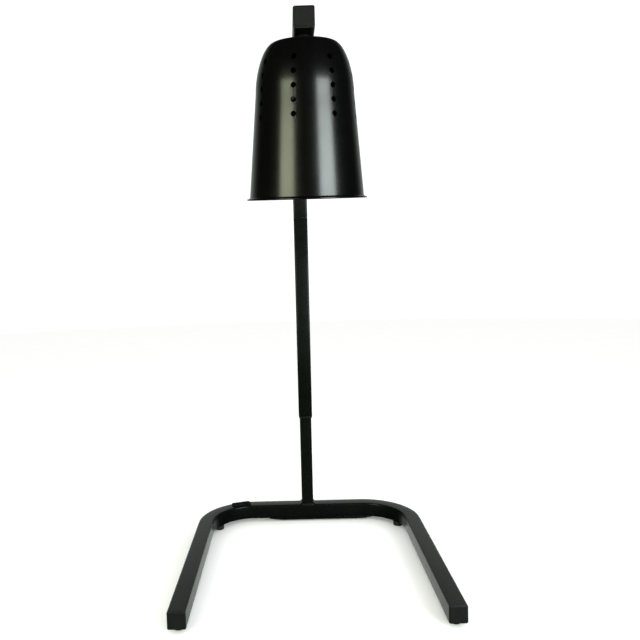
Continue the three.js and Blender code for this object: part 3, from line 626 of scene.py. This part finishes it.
key_outline = [(-KEY_HALF, -1.0), (KEY_HALF, -1.0), (KEY_HALF - 0.4, KEY_TOP - 1.4)]
for step in range(13):
    along = (KEY_HALF - 1.2) * (1 - step / 6)
    dip = 1.4 * (1 - (along / (KEY_HALF - 1.2)) ** 2)
    key_outline.append((along, KEY_TOP - 0.6 - dip))
key_outline.append((-KEY_HALF + 0.4, KEY_TOP - 1.4))
bm = bmesh.new()
key_corners = [bm.verts.new((x * MM, -KEY_WIDTH / 2, (z - 0.5) * MM)) for x, z in key_outline]
key_side = bm.faces.new(key_corners)
draw_out(bm, [key_side], (0, KEY_WIDTH, 0))
soften(bm, 0.45 * MM, 3, angle=30)
move(bm, Matrix.Translation(rocker_pivot), turned(SWITCH_SWING, "Z"), turned(-KEY_REST, "Y"))
stand_in(make_piece("switch_key", bm, switch_nylon), "power_rocker", "plastic_black", "power_switch_rocker")

# ---- Cord gland ----
# A flexible strain relief pushed through the rear wall: a round flange and a ribbed taper,
# moulded in black rubber. Its bore takes the 6 mm supply lead.
gland_low, gland_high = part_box("cord_gland")
gland_profile = [(3.3, -10), (6.3, -10), (6.5, -9.6), (6.5, 0), (9.4, 0), *arc(9.4, 0.6, 0.6, -90, 0, 3)]
gland_profile += [*arc(9.2, 2.2, 0.8, 0, 90, 4), (7.7, 3.2), (7.5, 4.0)]
for rib in range(4):
    start = 4.6 + 3.0 * rib
    radius = 7.35 - 0.45 * rib
    gland_profile += [(radius, start), (radius - 0.1, start + 1.5)]
    gland_profile += [(radius - 1.3, start + 1.8), (radius - 1.4, start + 2.7)]
gland_profile += [(5.5, 16.4), (5.0, 17.0), (3.6, 17.0), (3.3, 16.6)]
bm = bmesh.new()
turn(bm, gland_profile, 48)
gland_x = (gland_low.x + gland_high.x) / 2
move(bm, shift(gland_x, gland_low.y + 10 * MM, (gland_low.z + gland_high.z) / 2), turned(-90, "X"))
stand_in(make_piece("ribbed_cord_gland", bm, foot_rubber), "base", "rubber_black", "cord_gland")

# ---- Lower post ----
# The fixed half of the column: 27 mm square tube, coated, welded upright on the rear bar with
# a fillet bead all round its foot. A moulded bush in its top steadies the sleeve.
POST = post_high.x - post_low.x
POST_CORNER = 2.5 * MM
column_x = column_axis.x
column_y = column_axis.y
bm = bmesh.new()
end = tube_face(bm, POST, TUBE_WALL, POST_CORNER)
draw_out(bm, end, (0, 0, post_high.z - post_low.z), 3)
move(bm, shift(column_x, column_y, post_low.z))
stand_in(make_piece("post_tube", bm, frame_coat), "base", "powder_coat_black", "lower_post")
finish_nodes(moulded_abs, "post_guide_bush")

WELD_LEG = 3.6 * MM
WELD_PITCH = 2.6 * MM
bm = bmesh.new()
outer = POST + 2 * WELD_LEG
end = tube_face(bm, outer, WELD_LEG - 0.35 * MM, POST_CORNER + WELD_LEG)
draw_out(bm, end, (0, 0, 0.6 * MM))
bmesh.ops.subdivide_edges(
    bm, edges=[edge for edge in bm.edges if edge.calc_length() > 10 * MM], cuts=28, use_grid_fill=True,
)
for vert in bm.verts:
    reach = max(abs(vert.co.x), abs(vert.co.y))
    beside_post = reach < POST / 2 + 1.2 * MM
    if beside_post and vert.co.z > 0:
        vert.co.z = WELD_LEG
    elif not beside_post:
        run = math.atan2(vert.co.y, vert.co.x) * POST * 0.62
        vert.co.xy *= 1 + 0.014 * math.sin(run * 2 * math.pi / WELD_PITCH)
        vert.co.z *= 1.5
move(bm, shift(column_x, column_y, base_high.z + 0.3 * MM))
weld = make_piece("post_fillet_weld", bm, frame_coat, smooth_angle=60)
stand_in(weld, "base", "powder_coat_black", "post_weld_bead")

# ---- Sliding sleeve ----
# The upper half of the column slides on the post: coated square tube, with a moulded guide
# ring in its mouth and a dark joint line where the arm's tube meets it.
sleeve_low, sleeve_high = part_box("column_sleeve")
TUBE_LIP = 0.45 * MM


def is_rim(edge, size):
    """Whether an edge runs round the outer corner of a tube's cut end."""
    return all(max(abs(vert.co.x), abs(vert.co.y)) > size / 2 - 1.0 * MM for vert in edge.verts)


bm = bmesh.new()
end = tube_face(bm, TUBE, TUBE_WALL, TUBE_CORNER)
draw_out(bm, end, (0, 0, sleeve_high.z - sleeve_low.z))
soften(bm, TUBE_LIP, 2, lambda edge: is_rim(edge, TUBE), 80)
move(bm, shift(column_x, column_y, sleeve_low.z))
stand_in(make_piece("sliding_sleeve", bm, frame_coat), "column", "powder_coat_black", "column_sleeve")

ring_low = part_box("sleeve_guide_bush")[0]
bm = bmesh.new()
end = tube_face(bm, TUBE - 0.8 * MM, 1.5 * MM, TUBE_CORNER - 0.4 * MM)
draw_out(bm, end, (0, 0, 2.7 * MM))
soften(bm, 0.6 * MM, 3, angle=80)
move(bm, shift(column_x, column_y, ring_low.z))
stand_in(make_piece("sleeve_guide_ring", bm, moulded_abs), "column", "plastic_black", "sleeve_guide_bush")

# ---- Column clamp ----
# A weld nut behind the sleeve, a plain washer, and a lobed ABS knob moulded on an M8 stud that
# presses on the post. The knob is small enough to hide behind the sleeve.
nut_low, nut_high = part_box("clamp_weld_nut")
clamp_z = (nut_low.z + nut_high.z) / 2
bm = bmesh.new()
bmesh.ops.create_circle(bm, cap_ends=True, segments=6, radius=7.5 * MM)
draw_out(bm, bm.faces[:], (0, 0, nut_high.y - nut_low.y))
soften(bm, 0.7 * MM, 2)
move(bm, shift(column_x, nut_low.y, clamp_z), turned(-90, "X"), turned(30, "Z"))
weld_nut = make_piece("clamp_nut", bm, frame_coat)
bm = bmesh.new()
bmesh.ops.create_cone(bm, cap_ends=True, segments=40, radius1=4.15 * MM, radius2=4.15 * MM, depth=60 * MM)
move(bm, shift(column_x, nut_low.y, clamp_z), turned(-90, "X"))
drill(weld_nut, bm)
stand_in(weld_nut, "column", "powder_coat_black", "clamp_weld_nut")

washer_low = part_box("clamp_washer")[0]
bm = bmesh.new()
turn(bm, [(4.2, 0.2), (4.4, 0), (7.7, 0), (8, 0.25), (8, 1.35), (7.7, 1.6), (4.4, 1.6), (4.2, 1.4)], 48)
move(bm, shift(column_x, washer_low.y, clamp_z), turned(-90, "X"))
stand_in(make_piece("plain_washer", bm, zinc_plate), "clamp_slide", "zinc_steel", "clamp_washer")

knob_low, knob_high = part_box("clamp_knob")
KNOB_LOBES = 6
KNOB_RADIUS = 11.3 * MM
LOBE_HEIGHT = 1.4 / 11.3  # of the knob's radius
HUB_RADIUS = 8.5 * MM
HUB_LENGTH = 7 * MM
knob_length = knob_high.y - knob_low.y
bm = bmesh.new()
bmesh.ops.create_circle(bm, cap_ends=True, segments=32, radius=HUB_RADIUS)
hub = draw_out(bm, bm.faces[:], (0, 0, HUB_LENGTH))
bmesh.ops.delete(bm, geom=hub, context="FACES_ONLY")
hub_edge = [edge for edge in bm.edges if len(edge.link_faces) == 1]
made = bmesh.ops.create_circle(bm, cap_ends=False, segments=96, radius=KNOB_RADIUS)
for vert in made["verts"]:
    angle = math.atan2(vert.co.y, vert.co.x)
    vert.co.xy *= 1 + LOBE_HEIGHT * math.cos(KNOB_LOBES * angle)
    vert.co.z = HUB_LENGTH
grip_edge = list({edge for vert in made["verts"] for edge in vert.link_edges})
bmesh.ops.bridge_loops(bm, edges=[*hub_edge, *grip_edge])
grip = bmesh.ops.extrude_edge_only(bm, edges=grip_edge)["geom"]
bmesh.ops.translate(bm, verts=verts_of(grip), vec=(0, 0, knob_length - HUB_LENGTH))
bmesh.ops.contextual_create(bm, geom=[edge for edge in bm.edges if len(edge.link_faces) == 1])
soften(bm, 0.8 * MM, 3, lambda edge: min(vert.co.xy.length for vert in edge.verts) > 9.3 * MM, 60)
bm.normal_update()
sunk(bm, faces_at(bm, knob_length), 1.2 * MM, -0.5 * MM)
move(bm, shift(column_x, knob_low.y, clamp_z), turned(-90, "X"))
stand_in(make_piece("lobed_knob", bm, moulded_abs), "clamp_knob", "plastic_black", "clamp_knob")
finish_nodes(zinc_plate, "clamp_stud")

# ---- Arm ----
# One bent length of the same tube carries the lamp. A steel spigot joins it to the sleeve,
# held by a screw above and a screw below the joint, and a cap closes its free end.
arm_low, arm_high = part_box("arm_tube")
arm_z = arm_high.z - TUBE / 2
bm = bmesh.new()
end = tube_face(bm, TUBE, TUBE_WALL, TUBE_CORNER)
arm_rise = arm_z - BEND_RADIUS - arm_low.z
draw_out(bm, end, (0, 0, arm_rise), 3)
soften(bm, TUBE_LIP, 2, lambda edge: is_rim(edge, TUBE) and max(v.co.z for v in edge.verts) < 1e-6, 80)
end = [face for face in bm.faces if face.calc_center_median().z > arm_rise - 1e-6]
move(bm, shift(column_x, column_y, arm_low.z))
end = bend(bm, end, (column_x, column_y - BEND_RADIUS, arm_z - BEND_RADIUS), (1, 0, 0), 90)
draw_out(bm, end, (0, arm_low.y - (column_y - BEND_RADIUS), 0), 5)
stand_in(make_piece("bent_arm_tube", bm, frame_coat), "column", "powder_coat_black", "arm_tube")
arm_cap_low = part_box("arm_end_cap")[0]
tube_cap("arm_front_cap", Vector((column_x, arm_cap_low.y, arm_z)), "column", "arm_end_cap")

for where in ("lower", "upper"):
    screw_low, screw_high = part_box("spigot_screw_" + where)
    bm = bmesh.new()
    turn(bm, [(0, 2.2), *arc(0, -1.9, 4.1, 84, 34, 6), (3.7, 0), (1.5, 0), (1.5, -6), (0.8, -7), (0, -7)], 32)
    move(bm, shift(column_x, screw_high.y - 2.2 * MM, (screw_low.z + screw_high.z) / 2), turned(-90, "X"))
    screw = make_piece("pan_head_screw_" + where, bm, zinc_plate)
    for across in (0, 90):
        bm = bmesh.new()
        bmesh.ops.create_cube(bm, size=1)
        bmesh.ops.scale(bm, vec=(4.2 * MM, 0.9 * MM, 2.4 * MM), verts=bm.verts)
        screw_top = shift(column_x, screw_high.y, (screw_low.z + screw_high.z) / 2)
        move(bm, screw_top, turned(-90, "X"), turned(across, "Z"))
        drill(screw, bm)
    stand_in(screw, "column", "zinc_steel", "spigot_screw_" + where)
finish_nodes(zinc_plate, "arm_spigot")

# ---- Shade ----
# A tall bell spun from 1.2 mm aluminium, with a flared and beaded rim and eight columns of five
# vent holes. It is stoved gloss black; the spinning lines show faintly through the enamel.
SHADE_TILT = 6.7  # degrees; the rim swings back towards the column
SHADE_DROP = 9.4 * MM
SHADE_WALL = 1.2
CROWN_BORE = 5.4
CROWN_FLAT = 46.6
CROWN_HEIGHT = 69.7
CROWN_RADIUS = 73.7
CROWN_POWER = 1.71
SKIRT_RADIUS = 87.6
SKIRT_END = 220.0
RIM_RADIUS = 92.4
RIM_BEAD = 1.4
SHADE_HEIGHT = 225.6
HOLE_RADIUS = 4.0 * MM
HOLE_FIRST = 29.5
HOLE_PITCH = 19.5
HOLE_ROWS = 5
HOLE_COLUMNS = 8
HOLE_TURN = -14.2
HANG_REACH = 518.6 * MM  # from the column to the middle of the crown
crown = Vector((column_x, column_y - HANG_REACH, arm_z - TUBE / 2 - SHADE_DROP))
hang = (Matrix.Translation(crown), turned(SHADE_TILT, "X"))


def spun_enamel(name):
    """Stoved gloss enamel: deep black, fine spinning rings, faint orange peel and dust."""
    material, tree, shader = new_material(name)
    place = add_node(tree, "ShaderNodeTexCoord").outputs["Object"]
    upright = add_node(
        tree, "ShaderNodeMapping", {"Vector": place, "Rotation": (math.radians(-SHADE_TILT), 0, 0)},
    )
    cloud = add_node(tree, "ShaderNodeTexNoise", {"Vector": place, "Scale": 1 / (60 * MM), "Detail": 5.0})
    tint = two_tone(tree, cloud.outputs["Fac"], "#010101", "#020202", 0.3, 0.75)
    speck = add_node(tree, "ShaderNodeTexNoise", {"Vector": place, "Scale": 1 / (0.8 * MM), "Detail": 1.0})
    coat = specked(tree, tint, speck.outputs["Fac"], 0.74, 0.80, 0.04, "#8A8A82")
    tree.links.new(coat, shader.inputs["Base Color"])
    wipe = add_node(tree, "ShaderNodeTexNoise", {"Vector": place, "Scale": 1 / (22 * MM), "Detail": 6.0})
    vary_roughness(tree, shader, wipe.outputs["Fac"], 0.19, 0.27)
    down = add_node(tree, "ShaderNodeSeparateXYZ", {"Vector": upright.outputs["Vector"]})
    level = add_node(tree, "ShaderNodeCombineXYZ", {"Z": down.outputs["Z"]})
    rings = add_node(
        tree, "ShaderNodeTexNoise", {"Vector": level.outputs["Vector"], "Scale": 1 / (2.4 * MM), "Detail": 3.0},
    )
    peel = add_node(tree, "ShaderNodeTexNoise", {"Vector": place, "Scale": 1 / (1.8 * MM), "Detail": 1.0})
    ripple = raise_skin(tree, shader, rings.outputs["Fac"], 0.35, 0.05 * MM)
    raise_skin(tree, shader, peel.outputs["Fac"], 0.3, 0.05 * MM, ripple)
    return material


def lined(profile, wall):
    """The profile moved square to itself by the wall, for the other side of a spun or blown sheet."""
    inner = []
    for index, (radius, height) in enumerate(profile):
        before = profile[max(index - 1, 0)]
        after = profile[min(index + 1, len(profile) - 1)]
        along = math.hypot(after[0] - before[0], after[1] - before[1])
        inner.append((
            radius - wall * (after[1] - before[1]) / along,
            height + wall * (after[0] - before[0]) / along,
        ))
    return inner


gloss_enamel = spun_enamel("gloss_black_stoved_enamel")
outside = [(CROWN_FLAT, 0.0)]
for step in range(1, 25):
    depth = CROWN_HEIGHT * (step / 24) ** 2.2
    swell = (1 - ((CROWN_HEIGHT - depth) / CROWN_HEIGHT) ** CROWN_POWER) ** (1 / CROWN_POWER)
    outside.append((CROWN_FLAT + (CROWN_RADIUS - CROWN_FLAT) * swell, depth))
for step in range(1, 7):
    share = step / 6
    radius = CROWN_RADIUS + (SKIRT_RADIUS - CROWN_RADIUS) * share
    outside.append((radius, CROWN_HEIGHT + (SKIRT_END - CROWN_HEIGHT) * share))
bead_radius = RIM_RADIUS - RIM_BEAD
bead_depth = SHADE_HEIGHT - RIM_BEAD
inside = lined(outside, SHADE_WALL)
inside[0] = (CROWN_FLAT, SHADE_WALL)
flare = [(SKIRT_RADIUS + 0.3, SKIRT_END + 1.3), (SKIRT_RADIUS + 1.2, SKIRT_END + 2.2)]
flare += [(bead_radius - 1.0, bead_depth - 1.1)]
bead = arc(bead_radius, bead_depth, RIM_BEAD, -100, 160, 14)
rim = [*flare, *bead, (SKIRT_RADIUS + 0.4, SKIRT_END + 3.2), (SKIRT_RADIUS - 0.7, SKIRT_END + 2.0)]
half = [(CROWN_BORE, 0.0), *outside, *rim, *reversed(inside), (CROWN_BORE, SHADE_WALL)]
bm = bmesh.new()
turn(bm, [(radius, -depth) for radius, depth in half], 96)
move(bm, *hang)
shade_piece = make_piece("spun_bell_shade", bm, gloss_enamel)
bm = bmesh.new()
for column in range(HOLE_COLUMNS):
    for row in range(HOLE_ROWS):
        made = bmesh.ops.create_cone(
            bm, cap_ends=True, segments=28, radius1=HOLE_RADIUS, radius2=HOLE_RADIUS, depth=50 * MM,
        )["verts"]
        swing = turned(HOLE_TURN + 360 * column / HOLE_COLUMNS, "Z")
        drop = shift(0, -70 * MM, -(HOLE_FIRST + HOLE_PITCH * row) * MM)
        bmesh.ops.transform(bm, matrix=swing @ drop @ turned(90, "X"), verts=made)
move(bm, *hang)
drill(shade_piece, bm)
stand_in(shade_piece, "column", "gloss_paint_black", "shade")

# ---- Hanger ----
# A threaded nipple hangs the shade from the level arm. Wedge washers above and below the arm's
# wall take up the tilt; the lower one is coated black and seats on the crown.
bm = bmesh.new()
turn(bm, [(0, 0.3), (11.6, 0.3), (12, 0.7), (12, 14), (0, 14)], 64)
bmesh.ops.bisect_plane(
    bm, geom=[*bm.verts, *bm.edges, *bm.faces], plane_co=(0, 0, SHADE_DROP - 0.3 * MM),
    plane_no=turned(-SHADE_TILT, "X") @ Vector((0, 0, 1)), clear_outer=True,
)
bmesh.ops.contextual_create(bm, geom=[edge for edge in bm.edges if edge.is_boundary])
move(bm, *hang)
matt_coat = powder_coat("matt_black_powder_coat", "#020202", "#040404", 0.6, 0.4, 0.1)
stand_in(make_piece("lower_wedge_washer", bm, matt_coat), "column", "powder_coat_black", "hanger_wedge_lower")
finish_nodes(zinc_plate, "hanger_nipple", "hanger_wedge_upper", "hanger_nut_upper", "hanger_nut_lower")

# ---- Lamp holder ----
# A spun steel cap, coated black, over a porcelain holder glazed dark brown, with a rolled brass screw shell
# and a brass centre contact inside it. The cap's black and the glaze's dark brown are painted shade
# for the dim inside of the shade, where it shows through the vent holes.
HOLDER_TOP = -6.8
HOLDER_BOTTOM = -62
cap_profile = [
    (5.3, HOLDER_TOP - 1.2), (15.4, HOLDER_TOP - 1.2), *arc(15.4, HOLDER_TOP - 7.4, 6.2, 80, 10, 6),
    (22.6, HOLDER_TOP - 19), (22.8, HOLDER_TOP - 20), (23.8, HOLDER_TOP - 20), (24, HOLDER_TOP - 19.4),
    *arc(16.6, HOLDER_TOP - 7.4, 7.4, 0, 90, 8), (5.3, HOLDER_TOP),
]
bm = bmesh.new()
turn(bm, cap_profile, 64)
move(bm, *hang)
# The black coat on the cap is painted shade for the dim inside of the shade.
stand_in(make_piece("spun_holder_cap", bm, frame_coat), "column", "powder_coat_black", "lamp_holder_cap")

glaze, tree, shader = new_material("porcelain_glaze_painted_shade")
place = add_node(tree, "ShaderNodeTexCoord").outputs["Object"]
shader.inputs["Coat Weight"].default_value = 0.6
shader.inputs["Coat Roughness"].default_value = 0.08
body_tone = add_node(tree, "ShaderNodeTexNoise", {"Vector": place, "Scale": 1 / (9 * MM), "Detail": 5.0})
# The dark brown glaze colours are painted shade for the dim inside of the shade.
tree.links.new(two_tone(tree, body_tone.outputs["Fac"], "#1C1410", "#2E211A"), shader.inputs["Base Color"])
pinholes = add_node(tree, "ShaderNodeTexVoronoi", {"Vector": place, "Scale": 1 / (1.6 * MM)})
vary_roughness(tree, shader, pinholes.outputs["Distance"], 0.3, 0.2)
raise_skin(tree, shader, body_tone.outputs["Fac"], 0.5, 0.15 * MM)
holder_profile = [
    (3.4, -24), (3.4, -21), (20.6, -21), *arc(20.6, -21.9, 0.9, 90, 0, 3), (21.5, -40), (20.9, -40.4),
    (20.9, -41.6), (21.5, -42), *arc(20, HOLDER_BOTTOM + 1.5, 1.5, 0, -90, 4),
    *arc(15.1, HOLDER_BOTTOM + 0.8, 0.8, -90, -180, 3), (14.3, -24),
]
bm = bmesh.new()
turn(bm, holder_profile, 64)
move(bm, *hang)
stand_in(make_piece("porcelain_holder", bm, glaze), "column", "porcelain", "lamp_holder")
rolled_brass = plated("rolled_brass", "#8F7436", "#C7A65C", 0.36, 1.2 * MM)
finish_nodes(rolled_brass, "holder_screw_shell", "holder_contact", "bulb_screw_base")

# ---- Bulb ----
# A 127 mm infrared reflector bulb, blown from hard glass 1 mm thick: its cone is silvered inside
# and reads as a satin mirror, and its round face is frosted.
BULB_RADIUS = 63.5
NECK_RADIUS = 15.0
CONTACT_Z = -29
NECK_TOP = CONTACT_Z - 27.3
NECK_END = CONTACT_Z - 43
BULB_FACE = CONTACT_Z - 165
WIDEST = BULB_FACE + 26
GLASS = 1.0


def blown_glass(name, colour, light_colour, roughness, metallic, frost):
    """Blown glass with slow ripples from the mould; silvered inside, or frosted."""
    material, tree, shader = new_material(name)
    shader.inputs["Metallic"].default_value = metallic
    place = add_node(tree, "ShaderNodeTexCoord").outputs["Object"]
    haze = add_node(tree, "ShaderNodeTexNoise", {"Vector": place, "Scale": 1 / (16 * MM), "Detail": 5.0})
    tree.links.new(two_tone(tree, haze.outputs["Fac"], colour, light_colour), shader.inputs["Base Color"])
    vary_roughness(tree, shader, haze.outputs["Fac"], roughness - 0.06, roughness + 0.08)
    etch = add_node(tree, "ShaderNodeTexNoise", {"Vector": place, "Scale": 1 / (1.2 * MM), "Detail": 2.0})
    raise_skin(tree, shader, etch.outputs["Fac"], frost, 0.08 * MM)
    return material


silvered_glass = blown_glass("silvered_glass", "#A7ABAD", "#C4C8CA", 0.18, 1.0, 0.1)
frosted_glass = blown_glass("frosted_glass", "#C9C8C2", "#E2E1DB", 0.42, 0.0, 0.6)
shell = [(13.4, NECK_TOP), (13.5, NECK_TOP - 4), (NECK_RADIUS, NECK_END)]
for step in range(1, 17):
    share = step / 16
    radius = NECK_RADIUS + (BULB_RADIUS - NECK_RADIUS) * math.sin(share * math.pi / 2)
    shell.append((radius, NECK_END + (WIDEST - NECK_END) * share))
for step in range(1, 17):
    angle = math.radians(90 * step / 16)
    shell.append((BULB_RADIUS * math.cos(angle), WIDEST - (WIDEST - BULB_FACE) * math.sin(angle)))
shell[-1] = (0.0, BULB_FACE)
lining = lined(shell, -GLASS)[:-1]
lining[0] = (12.4, NECK_TOP)
bm = bmesh.new()
turn(bm, [(0.0, BULB_FACE + GLASS), *reversed(lining), *shell], 96)
for face in bm.faces:
    face.material_index = 0 if face.calc_center_median().z > WIDEST * MM else 1
move(bm, *hang)
bulb = make_piece("infrared_bulb", bm, silvered_glass, frosted_glass)
stand_in(bulb, "column", "lamp_glass", "bulb_glass")

# ---- Leads ----
# Round flexible leads inside the base, the column and the nipple, sheathed in dull black PVC.
sheath = moulded("black_pvc_sheath", "#0E0E0E", "#161616", 0.6, 0.9 * MM, 0.03 * MM)
finish_nodes(sheath, "supply_lead_lower", "supply_lead_upper", "switch_lead", "holder_lead")
